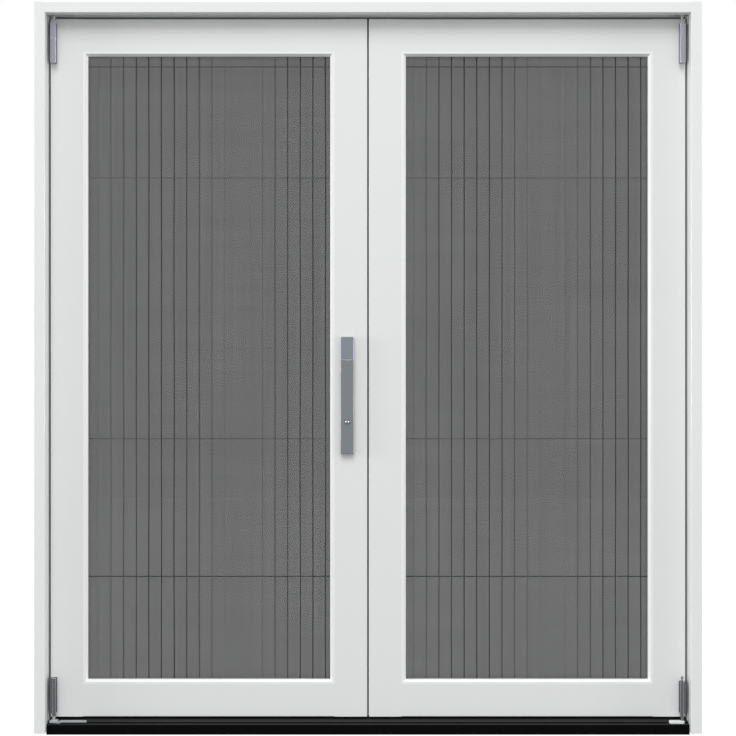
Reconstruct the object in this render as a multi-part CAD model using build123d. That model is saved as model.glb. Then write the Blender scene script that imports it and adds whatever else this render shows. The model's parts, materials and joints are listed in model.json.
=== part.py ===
from build123d import *
import os

os.makedirs("parts", exist_ok=True)

# Folding patio door with two leaves. Lengths are in millimetres. X runs to the right as seen from
# outside, Y runs from outside to inside, and Z runs up from the underside of the sill.

# Frame
overall_width = 1830
overall_height = 2012
frame_depth = 166
jamb_face = 30
head_face = 30
jamb_lift = 8
edge_chamfer = 1.5
stop_reach = 14
stop_thickness = 12
seal_depth = 6.5
seal_width = 6
seal_base = 1.2
seal_clearance = 1.3
cut_overrun = 1

# Sill
sill_setback = 20
sill_nose_height = 28
sill_slope_share = 0.15
sill_inner_height = 44

# Leaves
leaf_setback = 48
leaf_thickness = 44.5
sill_gap = 4.125
head_gap = 6
jamb_gap = 5.5
meeting_gap = 5
member_face = 96
bead_lap = 6
bead_bevel = 6.5
bead_slope_depth = 8
bead_depth = 11.2
gasket_thickness = 0.8
gasket_lip = 0.8
back_lip = 7
pane_thickness = 4
pane_gap = 12
pane_edge_clearance = 3
spacer_width = 5
meeting_seal_depth = 14
meeting_seal_clearance = 0.3

# Pivots and hinge bodies at the jamb side of each leaf
pin_inset = 12.5
pin_standoff = 16
pin_radius = 4
running_clearance = 0.05
barrel_radius = 6
web_width = 8
web_inset = 2.9
web_proud = 3
hinge_plate_thickness = 3
hinge_plate_width = 15.5
top_hinge_length = 124
left_bottom_hinge_length = 110
right_bottom_hinge_length = 100
top_pin_show = 14
bottom_pin_show = 6.5
web_end_margin = 13.5

# Tracks
head_track_half = 14
head_track_cover = 4
head_track_wall = 2.5
head_track_lip = 3
head_slot_half = 4.2
sill_track_half = 7
sill_track_wall = 2
sill_track_depth = 16

# Carriage in the head track and guide in the sill track
carriage_half_width = 5
carriage_neck_half = 3.4
carriage_tail = 11
carriage_nose = 55
carriage_drop = 3
carriage_top_clearance = 2
wheel_radius = 7.5
wheel_width = 4.5
wheel_gap = 0.3
wheel_side_clearance = 1.3
axle_radius = 2
trailing_axle_offset = 4
leading_axle_offset = 42
guide_cap_half_length = 10.5
guide_cap_half_width = 9
guide_cap_height = 6.2
guide_clearance = 0.7
guide_neck_drop = 4
guide_shoe_start = 17
guide_shoe_length = 73
guide_shoe_half_width = 4.5
guide_shoe_height = 4.2
guide_roller_radius = 4.7
guide_roller_height = 9
guide_roller_gap = 0.5
guide_spigot_radius = 2

# Fixed pivots at the right jamb
pivot_block_length = 48
pivot_block_overhang = 14
shoe_length = 42
shoe_overhang = 6
shoe_half_width = 7
shoe_rise = 6.4
shoe_corner = 5
pin_neck_radius = 2
pin_neck_length = 8
pin_knob_radius = 4

# Fold hinges between the leaves, on their inner faces
fold_standoff = 5
fold_knuckle_radius = 4.8
fold_pin_radius = 2.5
fold_plate_width = 40
fold_plate_thickness = 2.5
fold_plate_height = 100
fold_knuckle_count = 5
fold_knuckle_gap = 0.4
fold_plate_relief = 0.6
fold_pin_head = 1.5
fold_hinge_height_shares = (0.12, 0.5, 0.88)

# Handle set and shoot bolts on the left leaf
handle_inset = 55
handle_bottom_rise = 729
handle_width = 36.5
handle_length = 323
handle_corner = 1.6
handle_edge = 0.9
hub_length = 62
hub_thickness = 14
lever_thickness = 12
split_gap = 4.4
backplate_thickness = 3
backplate_inset = 1
hub_clearance = 0.4
spindle_radius = 5
spindle_reach = 16
lever_pin_radius = 1.4
lever_pin_setback = 1.6
lug_front = 0.3
lug_back = 4.5
lug_reach = 1.9
lever_lug_width = 5
hub_lug_width = 8
button_drop = 234
button_radius = 6.2
button_proud = 5
button_travel = 3
button_recess_width = 2.2
button_recess_depth = 1.5
gearbox_width = 26
gearbox_depth = 30
gearbox_height = 110
gearbox_top_margin = 5
bolt_radius = 5
bolt_clearance = 0.3
bolt_shy = 1
bolt_tip = 1.5
bolt_engagement = 28
bolt_socket_depth = 32
keeper_radius = 9
keeper_length = 14
keeper_clearance = 0.8

# Screen
screen_setback = 130
rail_half = 13
rail_wall = 2
top_rail_height = 20
bottom_rail_height = 10
cassette_width = 34
cassette_half = 15
cassette_back = 8
cassette_wall = 2
strike_width = 20
strike_gap = 0.6
pull_bar_width = 32
pull_bar_half = 10.5
pull_bar_wall = 2
pull_bar_end_clearance = 1
pleat_count = 48
pleat_half_depth = 8
mesh_thickness = 0.5
mesh_end_clearance = 4
string_radius = 0.8
string_height_shares = (0.192, 0.394, 0.777, 0.94)
grip_height = 180
grip_reach = 11
grip_width = 18
grip_lip = 4
grip_height_share = 0.48

# Fasteners
screw_radius = 2.5
screw_head_radius = 5
screw_head_height = 3.5
screw_length = 75
screw_depth_shares = (0.47, 0.8)
fixing_radius = 3.5
fixing_spacing = 50
fixing_height_shares = (0.15, 0.85)

# Places worked out from the driving sizes
half_width = overall_width / 2
opening_half = half_width - jamb_face
front_y = -frame_depth / 2
back_y = frame_depth / 2
head_under_z = overall_height - head_face
leaf_front_y = front_y + leaf_setback
leaf_back_y = leaf_front_y + leaf_thickness
leaf_mid_y = (leaf_front_y + leaf_back_y) / 2
sill_front_y = front_y + sill_setback
leaf_bottom_z = sill_nose_height + sill_slope_share * (leaf_back_y - sill_front_y) + sill_gap
leaf_top_z = head_under_z - head_gap
leaf_outer_x = opening_half - jamb_gap
leaf_inner_x = meeting_gap / 2
pin_x = leaf_outer_x - pin_inset
pin_y = leaf_front_y - pin_standoff
fold_y = leaf_back_y + fold_standoff
stop_front_y = leaf_back_y + seal_depth
stop_back_y = stop_front_y + stop_thickness
head_stop_z = head_under_z - stop_reach
sill_stop_z = leaf_bottom_z + stop_reach
seat_width = member_face - bead_lap
sight_width = member_face + bead_bevel
lip_width = seat_width + back_lip
pane_front = bead_depth + gasket_thickness
pane_back = pane_front + pane_thickness + pane_gap + pane_thickness
head_groove_top = overall_height - head_track_cover
sill_groove_bottom = sill_nose_height - sill_track_depth
handle_x = -(leaf_inner_x + handle_inset)
handle_bottom_z = leaf_bottom_z + handle_bottom_rise
handle_top_z = handle_bottom_z + handle_length
hub_z = handle_top_z - hub_length / 2
hub_back_y = leaf_front_y - backplate_thickness - hub_clearance
hub_front_y = hub_back_y - hub_thickness
hub_bottom_z = handle_top_z - hub_length
lever_top_z = hub_bottom_z - split_gap
lever_pin_y = hub_front_y + lever_pin_setback
lever_pin_z = (hub_bottom_z + lever_top_z) / 2
button_z = handle_top_z - button_drop
gearbox_top_z = handle_top_z - gearbox_top_margin
gearbox_bottom_z = gearbox_top_z - gearbox_height
screen_y = front_y + screen_setback
cassette_x = opening_half - cassette_width
pull_bar_x = -opening_half + strike_width + strike_gap
mesh_start_x = pull_bar_x + pull_bar_width
mesh_end_x = opening_half - cassette_back
mesh_bottom_z = sill_inner_height + rail_wall + mesh_end_clearance
mesh_top_z = head_under_z - rail_wall - mesh_end_clearance
fixing_y = stop_front_y + stop_thickness / 2


def sill_top(y):
    return sill_nose_height + sill_slope_share * (y - sill_front_y)


def save(name, *solids):
    shape = solids[0] if len(solids) == 1 else Compound(children=list(solids))
    export_step(shape, os.path.join("parts", name + ".step"))


def block(x_span, y_span, z_span):
    spans = (x_span, y_span, z_span)
    sizes = [high - low for low, high in spans]
    middle = [(low + high) / 2 for low, high in spans]
    return Pos(*middle) * Box(*sizes)


def prism_along_x(points, x_span):
    outline = Plane.YZ.offset(x_span[0]) * Polygon(*points, align=None)
    return extrude(outline, amount=x_span[1] - x_span[0], dir=(1, 0, 0))


def prism_along_z(points, z_span):
    outline = Pos(0, 0, z_span[0]) * Polygon(*points, align=None)
    return extrude(outline, amount=z_span[1] - z_span[0], dir=(0, 0, 1))


def rod_along_x(y, z, radius, x_span):
    length = x_span[1] - x_span[0]
    return Pos((x_span[0] + x_span[1]) / 2, y, z) * Rot(0, 90, 0) * Cylinder(radius, length)


def rod_along_y(x, z, radius, y_span):
    length = y_span[1] - y_span[0]
    return Pos(x, (y_span[0] + y_span[1]) / 2, z) * Rot(90, 0, 0) * Cylinder(radius, length)


def rod_along_z(x, y, radius, z_span):
    length = z_span[1] - z_span[0]
    return Pos(x, y, (z_span[0] + z_span[1]) / 2) * Cylinder(radius, length)


def to_left(shape):
    return mirror(shape, about=Plane.YZ)


def between(share, low, high):
    return low + share * (high - low)


# Screw places in the jambs: depth along Y, and height in the head and in the sill
screw_depths = [between(share, front_y, back_y) for share in screw_depth_shares]
screw_heights = (sill_nose_height / 2, head_under_z + head_face / 2)
screw_places = [(y, z) for y in screw_depths for z in screw_heights]
fixing_places = [
    (fixing_y + step, between(share, jamb_lift, overall_height))
    for step in (0, fixing_spacing)
    for share in fixing_height_shares
]


def frame_screw(y, z):
    shank = rod_along_x(y, z, screw_radius, (half_width - screw_length, half_width))
    head_start = half_width - screw_head_height
    head = Pos((head_start + half_width) / 2, y, z) * Rot(0, 90, 0) * Cone(
        screw_radius, screw_head_radius, screw_head_height
    )
    return shank + head


def fixing_drill(y, z):
    reach = (opening_half - stop_reach - cut_overrun, half_width + cut_overrun)
    return rod_along_x(y, z, fixing_radius, reach)


def door_stops():
    stop_y = (stop_front_y, stop_back_y)
    side = block((opening_half - stop_reach, opening_half), stop_y, (sill_stop_z, head_stop_z))
    for y, z in fixing_places:
        if stop_front_y < y < stop_back_y:
            side -= fixing_drill(y, z)
    run = (-opening_half, opening_half)
    top = block(run, stop_y, (head_stop_z, head_under_z))
    bottom_outline = [
        (stop_front_y, sill_top(stop_front_y)),
        (stop_back_y, sill_top(stop_back_y)),
        (stop_back_y, sill_stop_z),
        (stop_front_y, sill_stop_z),
    ]
    return [side, to_left(side), top, prism_along_x(bottom_outline, run)]


def right_jamb():
    outline = [
        (opening_half, front_y),
        (half_width - edge_chamfer, front_y),
        (half_width, front_y + edge_chamfer),
        (half_width, back_y),
        (opening_half, back_y),
    ]
    post = prism_along_z(outline, (jamb_lift, overall_height))
    bevel = [
        (opening_half, front_y),
        (opening_half + edge_chamfer, front_y),
        (opening_half, front_y + edge_chamfer),
    ]
    post -= prism_along_z(bevel, (jamb_lift, head_under_z))
    for y, z in screw_places:
        post -= frame_screw(y, z)
    for y, z in fixing_places:
        post -= fixing_drill(y, z)
    return post


def head():
    low_y = pin_y - head_track_half
    high_y = pin_y + head_track_half
    outline = [
        (front_y, head_under_z + edge_chamfer),
        (front_y + edge_chamfer, head_under_z),
        (low_y, head_under_z),
        (low_y, head_groove_top),
        (high_y, head_groove_top),
        (high_y, head_under_z),
        (back_y, head_under_z),
        (back_y, overall_height),
        (front_y + edge_chamfer, overall_height),
        (front_y, overall_height - edge_chamfer),
    ]
    beam = prism_along_x(outline, (-opening_half, opening_half))
    for y, z in screw_places:
        beam -= frame_screw(y, z)
        beam -= to_left(frame_screw(y, z))
    bush_top = head_under_z + keeper_length
    beam -= rod_along_z(handle_x, leaf_mid_y, keeper_radius, (head_under_z - cut_overrun, bush_top))
    throat = bolt_radius + keeper_clearance
    beam -= rod_along_z(handle_x, leaf_mid_y, throat, (head_under_z, bush_top + keeper_length / 2))
    return beam


def sill():
    low_y = pin_y - sill_track_half
    high_y = pin_y + sill_track_half
    outline = [
        (sill_front_y, 0),
        (back_y, 0),
        (back_y, sill_inner_height),
        (stop_back_y, sill_inner_height),
        (stop_back_y, sill_top(stop_back_y)),
        (high_y, sill_top(high_y)),
        (high_y, sill_groove_bottom),
        (low_y, sill_groove_bottom),
        (low_y, sill_top(low_y)),
        (sill_front_y + edge_chamfer, sill_top(sill_front_y + edge_chamfer)),
        (sill_front_y, sill_nose_height - edge_chamfer),
    ]
    beam = prism_along_x(outline, (-opening_half, opening_half))
    for y, z in screw_places:
        beam -= frame_screw(y, z)
        beam -= to_left(frame_screw(y, z))
    bush_bottom = sill_top(leaf_mid_y - keeper_radius) - keeper_length
    beam -= rod_along_z(handle_x, leaf_mid_y, keeper_radius, (bush_bottom, leaf_bottom_z))
    return beam


def head_track():
    inner_half = head_track_half - head_track_wall
    lip_top = head_under_z + head_track_lip
    ceiling = head_groove_top - head_track_wall
    right_side = [
        (head_slot_half, head_under_z),
        (head_slot_half, lip_top),
        (inner_half, lip_top),
        (inner_half, ceiling),
    ]
    outside = [(head_track_half, head_groove_top), (head_track_half, head_under_z)]
    inner = [(pin_y - offset, z) for offset, z in right_side]
    inner += [(pin_y + offset, z) for offset, z in reversed(right_side)]
    outer = [(pin_y + offset, z) for offset, z in reversed(outside)]
    outer += [(pin_y - offset, z) for offset, z in outside]
    return prism_along_x(inner + outer, (-opening_half, opening_half))


def sill_track():
    inner_half = sill_track_half - sill_track_wall
    floor = sill_groove_bottom + sill_track_wall
    low_y = pin_y - sill_track_half
    high_y = pin_y + sill_track_half
    outline = [
        (low_y, sill_groove_bottom),
        (high_y, sill_groove_bottom),
        (high_y, sill_top(high_y)),
        (pin_y + inner_half, sill_top(pin_y + inner_half)),
        (pin_y + inner_half, floor),
        (pin_y - inner_half, floor),
        (pin_y - inner_half, sill_top(pin_y - inner_half)),
        (low_y, sill_top(low_y)),
    ]
    return prism_along_x(outline, (-opening_half, opening_half))


def seal_section(reach, margin):
    tip_y = leaf_back_y + seal_clearance
    base_y = stop_front_y - seal_base
    nose = seal_width / 4
    return [
        (0, stop_front_y),
        (0, base_y),
        (margin, base_y),
        (margin, tip_y + nose),
        (margin + nose, tip_y),
        (margin + seal_width - nose, tip_y),
        (margin + seal_width, tip_y + nose),
        (margin + seal_width, base_y),
        (reach, base_y),
        (reach, stop_front_y),
    ]


def perimeter_seal():
    inner_x = opening_half - stop_reach
    side_section = seal_section(stop_reach, (stop_reach - jamb_gap - seal_width) / 2)
    side = prism_along_z([(inner_x + u, y) for u, y in side_section], (sill_stop_z, head_stop_z))
    run = (-opening_half, opening_half)
    top_section = seal_section(stop_reach, (stop_reach - head_gap - seal_width) / 2)
    top = prism_along_x([(y, head_stop_z + u) for u, y in top_section], run)
    bottom_reach = sill_stop_z - sill_top(stop_front_y)
    bottom_section = seal_section(bottom_reach, (stop_reach - seal_width) / 2)
    bottom = prism_along_x([(y, sill_stop_z - u) for u, y in bottom_section], run)
    return [side, to_left(side), top, bottom]


def bolt_keepers():
    throat = bolt_radius + keeper_clearance
    top_span = (head_under_z, head_under_z + keeper_length)
    bottom_top = sill_top(leaf_mid_y - keeper_radius)
    bottom_span = (bottom_top - keeper_length, bottom_top)
    bushes = []
    for span in (top_span, bottom_span):
        bush = rod_along_z(handle_x, leaf_mid_y, keeper_radius, span)
        bushes.append(bush - rod_along_z(handle_x, leaf_mid_y, throat, span))
    return bushes


def top_pivot_block():
    lip_top = head_under_z + head_track_lip
    ceiling = head_groove_top - head_track_wall
    inner_half = head_track_half - head_track_wall
    x_span = (pin_x + pivot_block_overhang - pivot_block_length, pin_x + pivot_block_overhang)
    body = block(x_span, (pin_y - inner_half, pin_y + inner_half), (lip_top, ceiling))
    tail_top = lip_top + cut_overrun
    tail = block(x_span, (pin_y - carriage_neck_half, pin_y + carriage_neck_half), (head_under_z, tail_top))
    pin = rod_along_z(pin_x, pin_y, pin_radius, (leaf_top_z - top_hinge_length, ceiling))
    return body + tail + pin


def bottom_pivot_shoe():
    x_span = (pin_x + shoe_overhang - shoe_length, pin_x + shoe_overhang)
    low_y = pin_y - shoe_half_width
    high_y = pin_y + shoe_half_width
    shoe_top = sill_top(pin_y) + shoe_rise
    outline = [(low_y, sill_top(low_y)), (high_y, sill_top(high_y)), (high_y, shoe_top), (low_y, shoe_top)]
    body = prism_along_x(outline, x_span)
    body = fillet(body.edges().filter_by(Axis.Z), shoe_corner)
    body = chamfer(body.faces().sort_by(Axis.Z)[-1].edges(), edge_chamfer)
    keel_half = sill_track_half - sill_track_wall
    keel_low = sill_groove_bottom + sill_track_wall
    keel_outline = [
        (pin_y - keel_half, keel_low),
        (pin_y + keel_half, keel_low),
        (pin_y + keel_half, sill_top(pin_y + keel_half)),
        (pin_y - keel_half, sill_top(pin_y - keel_half)),
    ]
    body += prism_along_x(keel_outline, (x_span[0] + shoe_corner, x_span[1] - edge_chamfer))
    bore = pin_radius + running_clearance
    return body - rod_along_z(pin_x, pin_y, bore, (keel_low, shoe_top + cut_overrun))


def bottom_pivot_pin():
    keel_low = sill_groove_bottom + sill_track_wall
    barrel_top = leaf_bottom_z + right_bottom_hinge_length
    neck_top = barrel_top + pin_neck_length
    shank = rod_along_z(pin_x, pin_y, pin_radius, (keel_low, barrel_top))
    neck = rod_along_z(pin_x, pin_y, pin_neck_radius, (barrel_top, neck_top + pin_knob_radius))
    knob = Pos(pin_x, pin_y, neck_top + pin_knob_radius) * Sphere(pin_knob_radius)
    return shank + neck + knob


def right_hinge_body(barrel_span, web_span):
    web_end = leaf_outer_x - web_inset
    web_start = web_end - web_width
    web = block((web_start, web_end), (pin_y - web_proud, leaf_front_y), web_span)
    plate_y = leaf_front_y - hinge_plate_thickness
    plate = block((web_end - hinge_plate_width, web_end), (plate_y, leaf_front_y), web_span)
    barrel = rod_along_z(pin_x, pin_y, barrel_radius, barrel_span)
    bore_low = min(barrel_span[0], web_span[0]) - cut_overrun
    bore_high = max(barrel_span[1], web_span[1]) + cut_overrun
    bore = rod_along_z(pin_x, pin_y, pin_radius + running_clearance, (bore_low, bore_high))
    return web + plate + barrel - bore


def right_top_hinge():
    low = leaf_top_z - top_hinge_length
    return right_hinge_body((low, leaf_top_z - top_pin_show), (low, leaf_top_z - web_end_margin))


def right_shape_bottom_hinge(length):
    high = leaf_bottom_z + length
    return right_hinge_body((leaf_bottom_z + bottom_pin_show, high), (leaf_bottom_z + web_end_margin, high))


def stile(outer_edge_x, toward):
    outline = [
        (0, edge_chamfer),
        (edge_chamfer, 0),
        (seat_width, 0),
        (seat_width, leaf_thickness),
        (edge_chamfer, leaf_thickness),
        (0, leaf_thickness - edge_chamfer),
    ]
    points = [(outer_edge_x + toward * u, leaf_front_y + v) for u, v in outline]
    post = prism_along_z(points, (leaf_bottom_z, leaf_top_z))
    lip_x = sorted((outer_edge_x + toward * seat_width, outer_edge_x + toward * lip_width))
    lip_z = (leaf_bottom_z + lip_width, leaf_top_z - lip_width)
    return post + block(lip_x, (leaf_front_y + pane_back, leaf_back_y), lip_z)


def rail(outer_edge_z, toward):
    outline = [
        (0, edge_chamfer),
        (edge_chamfer, 0),
        (seat_width, 0),
        (seat_width, pane_back),
        (lip_width, pane_back),
        (lip_width, leaf_thickness),
        (edge_chamfer, leaf_thickness),
        (0, leaf_thickness - edge_chamfer),
    ]
    points = [(leaf_front_y + v, outer_edge_z + toward * u) for u, v in outline]
    return prism_along_x(points, (leaf_inner_x + seat_width, leaf_outer_x - seat_width))


def mitred_bars(section, x_span, z_span):
    middle_x = (x_span[0] + x_span[1]) / 2
    middle_z = (z_span[0] + z_span[1]) / 2
    corner = (x_span[0], 0, z_span[0])
    top_corner = (x_span[0], 0, z_span[1])
    far_corner = (x_span[1], 0, z_span[0])
    post = prism_along_z([(x_span[0] + u, leaf_front_y + v) for u, v in section], z_span)
    post = split(post, bisect_by=Plane(corner, z_dir=(-1, 0, 1)), keep=Keep.TOP)
    post = split(post, bisect_by=Plane(top_corner, z_dir=(-1, 0, -1)), keep=Keep.TOP)
    bar = prism_along_x([(leaf_front_y + v, z_span[0] + u) for u, v in section], x_span)
    bar = split(bar, bisect_by=Plane(corner, z_dir=(1, 0, -1)), keep=Keep.TOP)
    bar = split(bar, bisect_by=Plane(far_corner, z_dir=(-1, 0, -1)), keep=Keep.TOP)
    far_post = mirror(post, about=Plane((middle_x, 0, 0), z_dir=(1, 0, 0)))
    far_bar = mirror(bar, about=Plane((0, 0, middle_z), z_dir=(0, 0, 1)))
    return [post, far_post, bar, far_bar]


def ring(outer_inset, inner_inset, depth_span):
    y_span = (leaf_front_y + depth_span[0], leaf_front_y + depth_span[1])

    def slab(inset, spare):
        return block(
            (leaf_inner_x + inset, leaf_outer_x - inset),
            (y_span[0] - spare, y_span[1] + spare),
            (leaf_bottom_z + inset, leaf_top_z - inset),
        )

    return slab(outer_inset, 0) - slab(inner_inset, cut_overrun)


def pane(depth):
    inset = seat_width + pane_edge_clearance
    return block(
        (leaf_inner_x + inset, leaf_outer_x - inset),
        (leaf_front_y + depth, leaf_front_y + depth + pane_thickness),
        (leaf_bottom_z + inset, leaf_top_z - inset),
    )


def glazing_beads():
    section = [
        (seat_width, 0),
        (member_face, 0),
        (sight_width, bead_slope_depth),
        (sight_width, bead_depth),
        (seat_width, bead_depth),
    ]
    shifted = [(u - seat_width, v) for u, v in section]
    x_span = (leaf_inner_x + seat_width, leaf_outer_x - seat_width)
    z_span = (leaf_bottom_z + seat_width, leaf_top_z - seat_width)
    return mitred_bars(shifted, x_span, z_span)


def leaf_pieces():
    glass_inset = seat_width + pane_edge_clearance
    spacer_front = pane_front + pane_thickness
    spacer_depth = (spacer_front, spacer_front + pane_gap)
    return {
        "outer_stile": [stile(leaf_outer_x, -1)],
        "inner_stile": [stile(leaf_inner_x, 1)],
        "top_rail": [rail(leaf_top_z, -1)],
        "bottom_rail": [rail(leaf_bottom_z, 1)],
        "outer_pane": [pane(pane_front)],
        "inner_pane": [pane(spacer_front + pane_gap)],
        "pane_spacer": [ring(glass_inset, glass_inset + spacer_width, spacer_depth)],
        "glazing_beads": glazing_beads(),
        "glazing_gasket": [ring(glass_inset, sight_width + gasket_lip, (bead_depth, pane_front))],
        "top_hinge": [right_top_hinge()],
    }


def handle_mortise():
    half = gearbox_width / 2
    return block(
        (handle_x - half, handle_x + half),
        (leaf_front_y, leaf_front_y + gearbox_depth),
        (gearbox_bottom_z, gearbox_top_z),
    )


def left_inner_stile(plain_stile):
    bore = bolt_radius + bolt_clearance
    bored = plain_stile - rod_along_z(handle_x, leaf_mid_y, bore, (leaf_bottom_z, leaf_top_z))
    return bored - handle_mortise()


def bolt_ends():
    return gearbox_bottom_z + bolt_engagement, gearbox_top_z - bolt_engagement


def gearbox():
    case = handle_mortise()
    socket = bolt_radius + bolt_clearance
    top_socket = (gearbox_top_z - bolt_socket_depth, gearbox_top_z)
    bottom_socket = (gearbox_bottom_z, gearbox_bottom_z + bolt_socket_depth)
    for z_span in (top_socket, bottom_socket):
        case -= rod_along_z(handle_x, leaf_mid_y, socket, z_span)
    bore = spindle_radius + running_clearance
    bore_end = leaf_front_y + spindle_reach + hub_clearance
    return case - rod_along_y(handle_x, hub_z, bore, (leaf_front_y, bore_end))


def bolt(z_span, tip_index):
    rod = rod_along_z(handle_x, leaf_mid_y, bolt_radius, z_span)
    return chamfer(rod.edges().filter_by(GeomType.CIRCLE).sort_by(Axis.Z)[tip_index], bolt_tip)


def handle_plate(z_span, y_span, inset):
    half = handle_width / 2 - inset
    return block((handle_x - half, handle_x + half), y_span, (z_span[0] + inset, z_span[1] - inset))


def corner_edges(body):
    return body.edges().filter_by(Axis.Y).sort_by(Axis.Z)


def backplate():
    y_span = (leaf_front_y - backplate_thickness, leaf_front_y)
    plate = handle_plate((handle_bottom_z, handle_top_z), y_span, backplate_inset)
    plate = fillet(corner_edges(plate), handle_corner)
    return plate - rod_along_y(handle_x, hub_z, spindle_radius + running_clearance, y_span)


def front_edges(body):
    return body.faces().sort_by(Axis.Y)[0].edges()


def lever_lug(x_span, root_z):
    past_pin = lug_reach if root_z < lever_pin_z else -lug_reach
    y_span = (lever_pin_y - lug_front, lever_pin_y + lug_back)
    return block(x_span, y_span, sorted((root_z, lever_pin_z + past_pin)))


def hub():
    body = handle_plate((hub_bottom_z, handle_top_z), (hub_front_y, hub_back_y), 0)
    body = fillet(corner_edges(body)[2:], handle_corner)
    body = chamfer(front_edges(body), handle_edge)
    half = hub_lug_width / 2
    body += lever_lug((handle_x - half, handle_x + half), hub_bottom_z)
    body -= lever_pin()
    spindle_end = leaf_front_y + spindle_reach
    return body + rod_along_y(handle_x, hub_z, spindle_radius, (hub_back_y, spindle_end))


def lever_pin():
    half = handle_width / 2 - handle_edge
    return rod_along_x(lever_pin_y, lever_pin_z, lever_pin_radius, (handle_x - half, handle_x + half))


def lever():
    back = hub_front_y + lever_thickness
    body = handle_plate((handle_bottom_z, lever_top_z), (hub_front_y, back), 0)
    body = fillet(corner_edges(body)[:2], handle_corner)
    body = chamfer(front_edges(body), handle_edge)
    end = handle_width / 2 - handle_edge
    for x_span in ((-end, lever_lug_width - end), (end - lever_lug_width, end)):
        body += lever_lug([handle_x + x for x in x_span], lever_top_z)
    bore = lever_pin_radius + running_clearance
    body -= rod_along_x(lever_pin_y, lever_pin_z, bore, (handle_x - end, handle_x + end))
    recess = (hub_front_y - cut_overrun, hub_front_y + button_recess_depth)
    body -= rod_along_y(handle_x, button_z, button_radius + button_recess_width, recess)
    return body - rod_along_y(handle_x, button_z, button_radius + running_clearance, (hub_front_y, back))


def lock_button():
    back = hub_front_y + lever_thickness - button_travel
    stem = rod_along_y(handle_x, button_z, button_radius, (hub_front_y, back))
    crown = Pos(handle_x, hub_front_y, button_z) * Sphere(button_radius)
    keep = rod_along_y(handle_x, button_z, button_radius, (hub_front_y - button_proud, hub_front_y))
    return stem + (crown & keep)


def fold_knuckle_span(centre_z, index):
    pitch = fold_plate_height / fold_knuckle_count
    low = centre_z - fold_plate_height / 2 + index * pitch
    return low + fold_knuckle_gap / 2, low + pitch - fold_knuckle_gap / 2


def fold_hinge_heights():
    return [between(share, leaf_bottom_z, leaf_top_z) for share in fold_hinge_height_shares]


def fold_plate(centre_z, toward, first_index):
    near = fold_knuckle_radius + fold_plate_relief
    half_height = fold_plate_height / 2
    plate_y = (leaf_back_y, leaf_back_y + fold_plate_thickness)
    x_span = sorted((toward * near, toward * (near + fold_plate_width)))
    body = block(x_span, plate_y, (centre_z - half_height, centre_z + half_height))
    bore_radius = fold_pin_radius + running_clearance
    web_y = (fold_y - fold_knuckle_radius, leaf_back_y + fold_plate_thickness)
    web_x = sorted((0, toward * near))
    for index in range(first_index, fold_knuckle_count, 2):
        span = fold_knuckle_span(centre_z, index)
        knuckle = rod_along_z(0, fold_y, fold_knuckle_radius, span) + block(web_x, web_y, span)
        body += knuckle - rod_along_z(0, fold_y, bore_radius, span)
    return body


def fold_pin(centre_z):
    half = fold_plate_height / 2
    shank = rod_along_z(0, fold_y, fold_pin_radius, (centre_z - half, centre_z + half))
    cap = rod_along_z(0, fold_y, fold_knuckle_radius, (centre_z + half, centre_z + half + fold_pin_head))
    return shank + cap


def meeting_seal():
    tip = leaf_inner_x - meeting_seal_clearance
    half = meeting_seal_depth / 2
    nose = (tip + leaf_inner_x) / 3
    points = [
        (-leaf_inner_x, leaf_mid_y - half),
        (tip - nose, leaf_mid_y - half),
        (tip, leaf_mid_y - half + nose),
        (tip, leaf_mid_y + half - nose),
        (tip - nose, leaf_mid_y + half),
        (-leaf_inner_x, leaf_mid_y + half),
    ]
    return prism_along_z(points, (leaf_bottom_z, leaf_top_z))


def axle_z():
    return head_under_z + head_track_lip + wheel_gap + wheel_radius


def carriage():
    top = head_groove_top - head_track_wall - carriage_top_clearance
    x_span = (-pin_x - carriage_tail, -pin_x + carriage_nose)
    y_span = (pin_y - carriage_half_width, pin_y + carriage_half_width)
    neck_top = head_under_z + head_track_lip + wheel_gap
    body = block(x_span, y_span, (neck_top, top))
    body = fillet(body.edges().filter_by(Axis.Z), carriage_half_width / 2)
    neck_y = (pin_y - carriage_neck_half, pin_y + carriage_neck_half)
    neck = block(x_span, neck_y, (head_under_z - carriage_drop, neck_top))
    body += fillet(neck.edges().filter_by(Axis.Z), carriage_neck_half / 2)
    for offset in (trailing_axle_offset, leading_axle_offset):
        bore = axle_radius + running_clearance
        body -= rod_along_y(-pin_x + offset, axle_z(), bore, y_span)
    return body + rod_along_z(-pin_x, pin_y, pin_radius, (leaf_top_z - top_hinge_length, head_under_z))


def wheel_set(offset):
    x = -pin_x + offset
    inside = carriage_half_width + wheel_side_clearance
    outside = inside + wheel_width
    shape = rod_along_y(x, axle_z(), axle_radius, (pin_y - outside, pin_y + outside))
    for side in (-1, 1):
        y_span = sorted((pin_y + side * inside, pin_y + side * outside))
        tyre = rod_along_y(x, axle_z(), wheel_radius, y_span)
        shape += chamfer(tyre.edges().filter_by(GeomType.CIRCLE), edge_chamfer / 2)
    return shape


def guide_levels():
    floor = sill_groove_bottom + sill_track_wall + guide_roller_gap
    cap_bottom = sill_top(pin_y + guide_cap_half_width) + guide_clearance
    return floor, floor + guide_roller_height, cap_bottom, cap_bottom + guide_cap_height


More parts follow.
